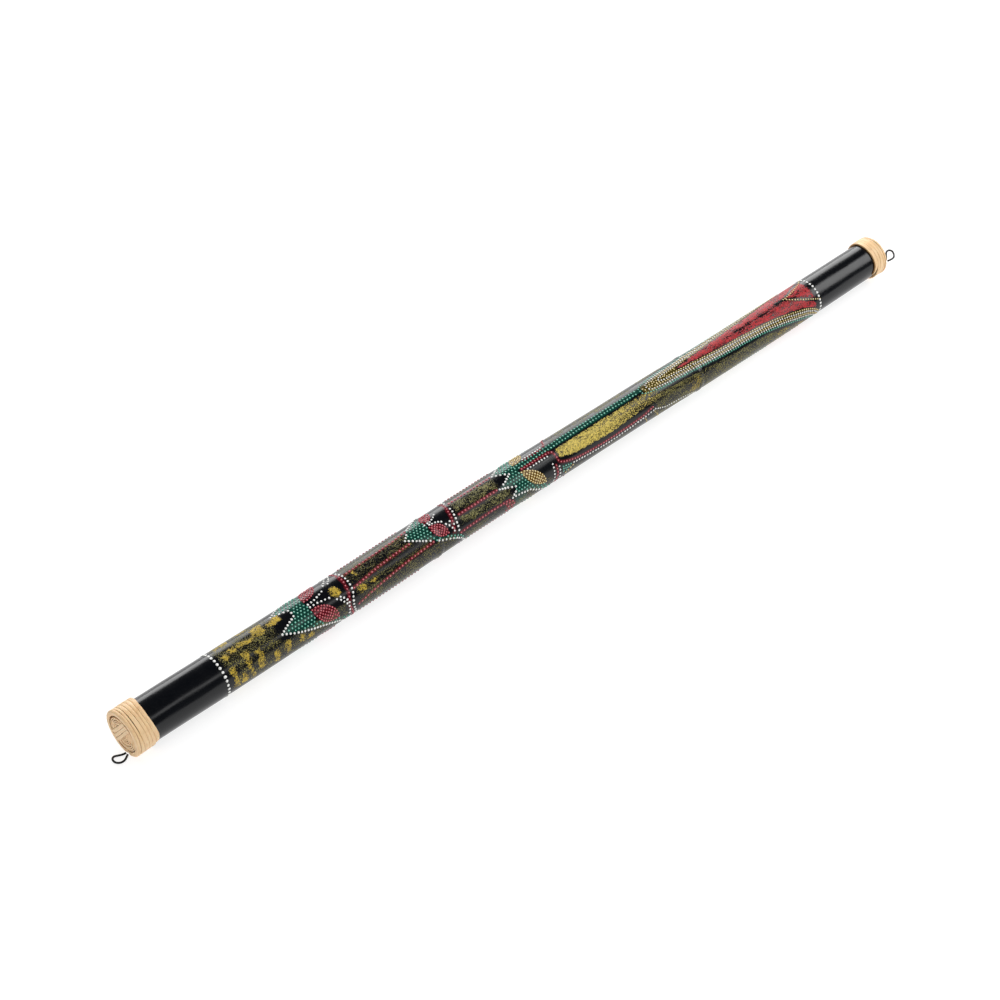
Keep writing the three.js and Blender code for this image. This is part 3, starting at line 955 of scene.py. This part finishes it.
def ground(s, a):
    """The flat colour painted under the dots, and how much of the skin it covers."""
    share = np.zeros(s.shape)
    tint = np.zeros(s.shape + (3,))
    layers = [(DARK_GREEN, inside(outline + back, s, a))
              for outline, back in ((ARROW_1, ARROW_1_BACK), (ARROW_2, ARROW_2_BACK),
                                    (ARROW_3, ARROW_3_BACK))]
    layers += [(DARK_RED if shape[0] == "red" else BROWN, leaf_ground(s, a, shape))
               for shape in leaves]
    off = np.abs(a - FEATHER_MIDDLE)
    outside = feather_outside(s) + 1.5
    rows_under = (off < outside) & (s > 778) & (s < 1062)
    layers += [(DARK_GREEN, ((s > 560) & (s < 768) & (a > -8) & (a < 13)).astype(float)),
               (DARK_GREEN, (rows_under & (off > outside - feather_gap(s) - 2)).astype(float)),
               (OCHRE, (rows_under & (off <= outside - feather_gap(s) - 2)
                        & (off > feather_edge(s))).astype(float)),
               (OCHRE, ((off < 14) & (s > 768) & (s < 826)).astype(float)),
               (DARK_RED, near_curve(s, a, RED_BAND_1, 2.6)),
               (DARK_RED, near_curve(s, a, RED_BAND_2, 2.6) * (a < 64)),
               (DARK_GREEN, band(s, a, 541, 559, 76, 122, 1.5, 4))]
    layers += [(DARK_RED, near_stroke(s, a, curve, 2.1)) for curve in strokes]
    for tone, cover in layers:
        tint = np.where(cover[:, None] > 0, np.array(tone), tint)
        share = np.maximum(share, cover)
    return tint, 0.9 * share


def paint_skin(piece, s, a):
    """Stores the colour and the density of the sponged flecks on the skin."""
    painted = step(s, RING_STATIONS[0] + 1, RING_STATIONS[0] + 5)
    painted *= 1 - step(s, RING_STATIONS[1] - 5, RING_STATIONS[1] - 2)
    s, a = settle(s, (a - SECTOR_START) % HALF_TURN + SECTOR_START, -1)
    total = np.full(s.shape, 1e-6)
    colour = np.zeros(s.shape + (3,))
    density = np.zeros(s.shape)
    for tone, share in patches(s, a):
        weight = share ** 3
        total += weight
        colour += weight[:, None] * np.array(tone)
        density = np.maximum(density, share)
    colour /= total[:, None]
    opaque = np.ones(s.shape + (1,))
    tint, tint_share = ground(s, a)
    give(piece, "fleck_density", density * painted)
    give(piece, "fleck_colour", np.concatenate([colour, opaque], axis=1), "FLOAT_COLOR")
    give(piece, "tint", np.concatenate([tint, opaque], axis=1), "FLOAT_COLOR")
    give(piece, "tint_share", tint_share)


# ---- the cane
SKIN_ROWS = 860
SKIN_SIDES = 132
BORE_ROWS = 60


def make_cane():
    """The tube: a finely divided skin, and a plainer bore inside it."""
    start, end = RIM_DEPTH / MM + 0.3, LENGTH_MM - RIM_DEPTH / MM - 0.3
    skin_s, skin_a = np.meshgrid(np.linspace(start, end, SKIN_ROWS),
                                 np.arange(SKIN_SIDES) * 360 / SKIN_SIDES, indexing="ij")
    bore_s, bore_a = np.meshgrid(np.linspace(end, start, BORE_ROWS),
                                 np.arange(SKIN_SIDES) * 360 / SKIN_SIDES, indexing="ij")
    bore = axis_point(bore_s) + radial(bore_a) * (tube_radius(bore_s) - TUBE_WALL)[..., None]
    points = np.vstack([on_skin(skin_s, skin_a).reshape(-1, 3), bore.reshape(-1, 3)])
    faces = loft_faces(SKIN_ROWS + BORE_ROWS, SKIN_SIDES, closed_rows=True)
    piece = link("bamboo_cane", points, faces, LACQUER)
    piece.data.materials.append(BARE_BAMBOO)
    material = np.zeros(len(faces), np.int32)
    material[(SKIN_ROWS - 1) * SKIN_SIDES:] = 1
    piece.data.polygons.foreach_set("material_index", material)
    s = np.concatenate([skin_s.ravel(), bore_s.ravel()])
    a = np.concatenate([skin_a.ravel(), bore_a.ravel()])
    paint_skin(piece, s, a)
    facing_out(piece)
    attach(piece, "stick")
    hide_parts("bamboo_tube")


make_cane()


# ---- rattan
# A strip's section: places across it (-1 to 1) and heights, in strip thicknesses.
PEEL = [(-0.97, 0.0), (-1.0, 0.40), (-0.99, 0.80), (-0.95, 0.93), (-0.82, 0.985), (-0.4, 1.0),
        (0.4, 1.0), (0.82, 0.985), (0.95, 0.93), (0.99, 0.80), (1.0, 0.40), (0.97, 0.0)]


def strip_mesh(name, middle, across, up, half_width, thickness, along, seed):
    """A rattan strip: its section swept along middle, with fibre coordinates for the material."""
    section = np.array(PEEL)
    half = np.asarray(half_width)[:, None, None]
    thick = np.asarray(thickness)[:, None, None]
    points = (middle[:, None] + across[:, None] * section[None, :, :1] * half
              + up[:, None] * section[None, :, 1:] * thick)
    rows, columns = points.shape[:2]
    piece = facing_out(link(name, points.reshape(-1, 3), loft_faces(rows, columns), RATTAN))
    grain = np.stack([np.repeat(along + 0.37 * seed, columns),
                      (section[None, :, 0] * half[..., 0]).ravel() + 0.11 * seed,
                      np.full(rows * columns, 0.053 * seed)], axis=-1)
    give(piece, "grain", grain, "FLOAT_VECTOR")
    # Edge mask: the strip's sides, strongest low down near the tube; partly its darker cut sides, partly
    # painted shade in the gaps between turns.
    edge = np.abs(section[:, 0]) ** 6 * np.clip(1.25 - section[:, 1], 0, 1) * 1.5
    give(piece, "edge", np.tile(edge, rows))
    return piece


# The wound strips, in millimetres and degrees. slit is a gap between two turns (place, angle,
# width), and uneven the shift of the inner edge round the stick, which grows turn by turn.
WRAPS = {
    "near": {"first": 4.3, "pitch": 4.6, "turns": 5.1, "tail": 118.0, "wild": 0.8,
             "tail_length": 34.0, "stray": 1.4, "slit": (5.0, 24.0, 0.9),
             "uneven": [(-242, 1.2), (-50, 2.6), (0, -0.3), (35, -1.8), (60, -1.0), (80, 0.2),
                        (100, 1.4), (118, 1.2)]},
    "far": {"first": 4.3, "pitch": 4.6, "turns": 3.85, "tail": 106.0, "wild": 0.6,
            "tail_length": 30.0, "stray": 6.5, "slit": (9.5, 60.0, 0.6),
            "uneven": [(-254, 0.4), (-50, 0.0), (0, 1.9), (60, 1.7), (90, 1.8), (106, 1.2)]},
}


SLIT_REACH = (38, 2.5)  # degrees and millimetres
STRAY_REACH = 38  # degrees over which the tail strays from its turn


def wrap_edge(setting, angle):
    """Where the winding's edge lies after turning by angle, in mm from the end face."""
    total = 360 * setting["turns"]
    wave = np.radians(angle)
    wobble = (0.42 * np.sin(0.73 * wave + 0.8) + 0.30 * np.sin(1.31 * wave + 2.0)
              + 0.16 * np.sin(2.9 * wave))
    shift = smooth_through(setting["uneven"], 200)
    around = (angle - total) % 360 + setting["tail"] - 360
    uneven = np.interp(around, shift[:, 0], shift[:, 1]) * (angle / (total + 360)) ** 1.6
    rise = setting["pitch"] * (angle / 360 - 1) + setting["wild"] * wobble + uneven
    return setting["first"] + np.maximum(rise, 0.0)


def wrap_edges(setting, theta, a, tail):
    """Both edges of the strip: it parts from the next turn at the slit and narrows to its tail."""
    low = wrap_edge(setting, theta)
    at_s, at_a, depth = setting["slit"]
    slit = np.exp(-(degrees_off(a, at_a) / SLIT_REACH[0]) ** 2)
    slit = slit * np.exp(-((low + setting["pitch"] - setting["first"] - at_s) / SLIT_REACH[1]) ** 2)
    gap = 0.12 + 0.07 * np.sin(np.radians(theta) * 1.9 + 1) + depth * slit
    high = np.maximum(wrap_edge(setting, theta + 360), low + 0.5) - gap
    return low, low + (high - low) * (0.12 + 0.88 * tail ** 0.6)


def make_wrap(end):
    """The strip wound behind the rim, uneven as wound by hand, with a frayed tail."""
    setting = WRAPS[end]
    total = 360 * setting["turns"]
    theta = np.arange(0, total + 1, 2.5)
    turn = np.radians(theta)
    a = setting["tail"] - total + theta
    tail = np.clip((total - theta) / setting["tail_length"], 0, 1)
    low, high = wrap_edges(setting, theta, a, tail)
    stray = setting["stray"] * (1 - np.clip((total - theta) / STRAY_REACH, 0, 1)) ** 2
    middle_s, half = (low + high) / 2 + stray, (high - low) / 2 * MM
    s = middle_s if end == "near" else LENGTH_MM - middle_s
    base = tube_radius(s) + 0.12 * MM
    middle = axis_point(s, bowed=False) + radial(a) * base[:, None]
    across = np.array([[-OUTWARD[end], 0, 0]])
    rise = 0.07 * np.sin(turn * 0.9) + 0.05 * np.sin(turn * 3.1)
    thickness = STRIP_THICK * (1.0 + rise) * (0.35 + 0.65 * tail ** 0.5)
    piece = strip_mesh(end + "_rattan_winding", middle, across, radial(a), half, thickness,
                       turn * base, 1 if end == "near" else 2)
    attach(piece, "stick")
    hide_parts(end + "_wound_strip")


RIM_INSET = 5.9 * MM  # from the outer radius to the rim's inner edge
RIM_ROUND = 2.1 * MM
CROSS_WIDTH = 4.2 * MM
CROSS_SLANT = math.radians(37)


def knot_angle(end):
    """The angle round the stick at which the cord leaves the end face."""
    low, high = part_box(end + "_cord_knot")
    knot = (low + high) / 2
    middle = axis_point(FACE_S[end], bowed=False)
    return math.degrees(math.atan2(-(knot.y - middle[1]), knot.z - middle[2]))


def rim_section(outer, inner):
    """The rim's section as (depth from the face, radius)."""
    bend = [(RIM_ROUND * (1 - math.sin(t)), outer - RIM_ROUND * (1 - math.cos(t)))
            for t in np.radians([90, 68, 45, 22, 0])]
    inside_edge = [(RIM_DEPTH - 0.1 * MM, inner + 0.3 * MM), (0.5 * MM, inner),
                   (0.12 * MM, inner + 0.35 * MM), (0.0, inner + 1.2 * MM),
                   (0.0, inner + 2.4 * MM)]
    outside_edge = [(3.0 * MM, outer), (RIM_DEPTH - 0.4 * MM, outer - 0.1 * MM),
                    (RIM_DEPTH - 0.1 * MM, outer - 0.6 * MM)]
    return np.array(inside_edge + bend + outside_edge)


def rim_point(end, a, depth, radius, inner):
    """A point of the rim: uneven, and dented where the cord leaves."""
    t = math.radians(a)
    dent = 1.1 * math.exp(-(degrees_off(a, knot_angle(end)) / 6.0) ** 2)
    waver = 0.12 * math.sin(3 * t + 1) + 0.08 * math.sin(7 * t)
    share = np.clip(1 - depth / RIM_DEPTH, 0, 1)
    sink = depth + (0.10 * math.sin(2 * t + 0.5) + 0.10 + dent) * MM * share
    reach = radius + waver * MM * (0.4 if radius < inner + 2 * MM else 0.6)
    return axis_point(FACE_S[end] - OUTWARD[end] * sink / MM, bowed=False) + radial(a) * reach


def make_rim(end):
    """The rim strip: a flat end face with a rounded outer edge."""
    outer = float(outer_radius(FACE_S[end]))
    inner = outer - RIM_INSET
    section = rim_section(outer, inner)
    angles = np.arange(0, 360, 2.5)
    points = [rim_point(end, a, depth, radius, inner) for a in angles for depth, radius in section]
    faces = loft_faces(len(angles), len(section), closed_rows=True)
    piece = facing_out(link(end + "_rattan_rim", points, faces, RATTAN))
    depth, radius = section.T
    seed = 5 if end == "near" else 6
    along = np.outer(np.radians(angles), radius).ravel()
    across = np.tile(lengths_along(section), len(angles))
    grain = np.stack([along + 0.37 * seed, across + 0.2, np.full(len(along), 0.05 * seed)], axis=-1)
    give(piece, "grain", grain, "FLOAT_VECTOR")
    # Edge mask: the rim's back edge against the winding and its inner lip by the coil; partly darker cut
    # edges, partly painted shade at these joins.
    edge = (depth > 0.9 * RIM_DEPTH) | (radius < inner + 0.2 * MM)
    give(piece, "edge", np.tile(edge.astype(float), len(angles)))
    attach(piece, "stick")
    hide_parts(end + "_rim_strip")


def make_coil(end):
    """The strip coiled on edge that fills the end face inside the rim."""
    outer = float(outer_radius(FACE_S[end])) - RIM_INSET - 1.0 * MM
    turns, pitch = 8.5, 2.05 * MM
    theta = np.arange(0, 360 * turns, 6.0)
    turn = np.radians(theta)
    radius = outer - pitch * theta / 360 + 0.16 * MM * np.sin(1.7 * turn)
    depth = (0.50 + 0.20 * np.sin(0.6 * turn + 1) + 0.10 * np.sin(4.3 * turn)) * MM
    floor_s = np.full(len(theta), FACE_S[end] - OUTWARD[end] * RIM_DEPTH / MM)
    middle = axis_point(floor_s, bowed=False) + radial(theta) * radius[:, None]
    up = np.array([[OUTWARD[end], 0, 0]])
    half = np.full(len(theta), 0.74 * MM) + 0.08 * MM * np.sin(2.3 * turn)
    piece = strip_mesh(end + "_rattan_coil", middle, radial(theta), up, half, RIM_DEPTH - depth,
                       lengths_along(middle), 3 if end == "near" else 4)
    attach(piece, "stick")
    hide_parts(end + "_face_coil")


def make_cross_strip(end, index):
    """A short flat strip laid across the end face."""
    name = f"{end}_cross_strip_{index}"
    low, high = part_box(name)
    centre = (low + high) / 2
    sine, cosine = math.sin(CROSS_SLANT), math.cos(CROSS_SLANT)
    run = np.array([0, -sine, cosine])
    wide = np.array([0, -cosine, -sine])
    reach = (float(high.z - low.z) - CROSS_WIDTH * sine) / cosine / 2 * 0.97
    t = np.linspace(-1, 1, 41)
    bend = 0.25 * MM * np.sin(2.2 * t + index)
    middle = np.array(centre)[None] + run[None] * (t * reach)[:, None] + wide[None] * bend[:, None]
    middle[:, 0] = (X_NEAR if end == "near" else X_FAR) - OUTWARD[end] * 0.62 * MM
    half = CROSS_WIDTH / 2 * (0.93 + 0.05 * np.sin(3 * t + 2 * index))
    thick = 0.8 * MM * (1.0 - 0.35 * np.abs(t) ** 4)
    piece = strip_mesh(f"{end}_rattan_cross_{index}", middle, wide[None],
                       np.array([[OUTWARD[end], 0, 0]]), half, thick, t * reach, 6 + index)
    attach(piece, "stick")
    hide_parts(name)


def make_knot(end):
    """The cord's own stretch under the rim, where the loop's two legs meet."""
    low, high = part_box(end + "_cord_knot")
    centre = np.array((low + high) / 2)
    away = centre - axis_point(FACE_S[end], bowed=False)
    away[0] = 0
    away /= np.linalg.norm(away)
    side = np.cross(away, [1.0, 0, 0])
    bend = np.linspace(0, math.pi, 25)[:, None]
    legs, dip = 1.3 * MM, 0.7 * MM
    path = centre + side * np.cos(bend) * legs - np.array([OUTWARD[end], 0, 0]) * (np.sin(bend) * dip)
    piece = cord_tube(end + "_cord_bight", path)
    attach(piece, "stick")
    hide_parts(end + "_cord_knot")


for end in ("near", "far"):
    make_wrap(end)
    make_rim(end)
    make_coil(end)
    for index in (1, 2, 3):
        make_cross_strip(end, index)
    make_knot(end)


# ---- inside the tube
def lathe(name, profile, sides, material):
    """A profile of (x, radius) turned round the stick's axis, with flat ends."""
    around = radial(np.arange(sides) * 360 / sides)
    points = [axis_point(np.full(sides, (x - X_NEAR) / MM), bowed=False) + around * radius
              for x, radius in profile]
    return facing_out(link(name, np.vstack(points), loft_faces(len(profile), sides), material))


def make_plug(end):
    low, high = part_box(end + "_end_plug")
    radius = float(high.z - low.z) / 2 * 0.995
    soft = 0.6 * MM
    rounding = ((0, soft), (0.3 * soft, 0.3 * soft), (soft, 0))
    profile = [(low.x + step_in, radius - cut) for step_in, cut in rounding]
    profile += [(high.x - step_in, radius - cut) for step_in, cut in reversed(rounding)]
    piece = lathe(end + "_plug_disc", profile, 72, PLUG_WOOD)
    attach(piece, "stick")
    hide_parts(end + "_end_plug")


def make_peg(name, index):
    """A split bamboo peg: not quite round, and a little thinner at one end."""
    low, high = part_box(name)
    centre = np.array((low + high) / 2)
    vertices = np.array([v.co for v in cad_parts[name].data.vertices])
    spread = vertices - vertices.mean(axis=0)
    run = np.linalg.svd(spread, full_matrices=False)[2][0]
    reach = np.abs(spread @ run).max()
    side = np.array([1.0, 0, 0])
    up = np.cross(run, side)
    t = np.linspace(-1, 1, 25)
    turn = 2 * np.pi * np.arange(14) / 14
    radius = 1.05 * MM * (1 - 0.07 * t[:, None] * (-1) ** index
                          + 0.05 * np.sin(3 * turn + index) + 0.03 * np.sin(9 * t[:, None] + index))
    radius *= np.where(np.abs(t[:, None]) > 0.99, 0.85, 1.0)
    points = ((centre + run * (t * reach)[:, None])[:, None]
              + side * (radius * np.cos(turn))[..., None] + up * (radius * np.sin(turn))[..., None])
    faces = loft_faces(len(t), len(turn))
    piece = facing_out(link(name + "_split", points.reshape(-1, 3), faces, PEG_WOOD))
    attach(piece, "stick")
    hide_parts(name)


def make_pebble(name, index):
    """A water-worn pebble in the place and size of its plain solid."""
    low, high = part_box(name)
    centre, size = (low + high) / 2, (high - low) / 2
    work = bmesh.new()
    bmesh.ops.create_icosphere(work, subdivisions=4, radius=1.0)
    for v in work.verts:
        c = v.co
        lump = 0.05 * math.sin(3.1 * c.x + index) + 0.05 * math.sin(3.7 * c.y + 2 * index) \
            + 0.03 * math.sin(6 * c.z + c.x * 4)
        v.co = Vector((c.x * size.x, c.y * size.y, c.z * size.z)) * (0.90 + lump) + centre
    mesh = bpy.data.meshes.new(name + "_worn")
    work.to_mesh(mesh)
    work.free()
    mesh.shade_smooth()
    mesh.materials.append(PEBBLE)
    piece = bpy.data.objects.new(name + "_worn", mesh)
    bpy.context.scene.collection.objects.link(piece)
    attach(piece, "pebble_fill")
    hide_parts(name)


for end in ("near", "far"):
    make_plug(end)
names = sorted(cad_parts)
for index, name in enumerate(n for n in names if n.startswith("peg_")):
    make_peg(name, index)
for index, name in enumerate(n for n in names if n.startswith("pebble_")):
    make_pebble(name, index)


# ---- floor and light
def make_floor():
    shader = Shader("pale_floor", Roughness=0.9, Emission_Color=(1, 1, 1, 1), Emission_Strength=0.78)
    here = shader.place()
    tone = shader.noise(here, 3.0, 3.0)
    colour = shader.mix(tone, (0.33, 0.33, 0.33, 1), (0.35, 0.35, 0.35, 1))
    material = shader.finish(Base_Color=colour)
    size = 12.0
    corners = [(-size, -size, 0), (size, -size, 0), (size, size, 0), (-size, size, 0)]
    floor = link("floor", corners, [(0, 1, 2, 3)], material, smooth=False)


def area_light(name, centre, size, power, seen=True):
    """A soft panel that faces the stick's middle."""
    data = bpy.data.lights.new(name, "AREA")
    data.shape = "RECTANGLE"
    data.size, data.size_y = size
    data.energy = power
    lamp = bpy.data.objects.new(name, data)
    bpy.context.scene.collection.objects.link(lamp)
    lamp.location = centre
    lamp.rotation_euler = (-Vector(centre)).to_track_quat("-Z", "Y").to_euler()
    lamp.visible_glossy = seen


def make_light():
    world = bpy.data.worlds.new("studio")
    bpy.context.scene.world = world
    world.use_nodes = True
    nodes, links = world.node_tree.nodes, world.node_tree.links
    up = nodes.new("ShaderNodeSeparateXYZ")
    links.new(nodes.new("ShaderNodeTexCoord").outputs["Generated"], up.inputs[0])
    height = nodes.new("ShaderNodeMapRange")
    for socket, value in (("From Min", 0.15), ("From Max", 0.75), ("To Min", 0.10), ("To Max", 0.04)):
        height.inputs[socket].default_value = value
    links.new(up.outputs["Z"], height.inputs["Value"])
    links.new(height.outputs[0], nodes["Background"].inputs["Strength"])
    nodes["Background"].inputs["Color"].default_value = (0.85, 0.92, 1, 1)
    area_light("back_panel", (1.5, 2.3, 0.95), (3.4, 1.45), 70)
    area_light("far_panel", (2.4, -1.15, 1.75), (1.4, 2.1), 42)
    area_light("near_strip", (0.9, -1.95, 1.95), (1.6, 0.6), 6)
    area_light("overhead", (0.0, 0.3, 3.4), (3.5, 3.5), 72, seen=False)
    area_light("left_fill", (-2.6, -1.3, 1.6), (2.0, 2.0), 20, seen=False)


make_floor()
make_light()
bpy.context.scene.view_settings.view_transform = "Standard"
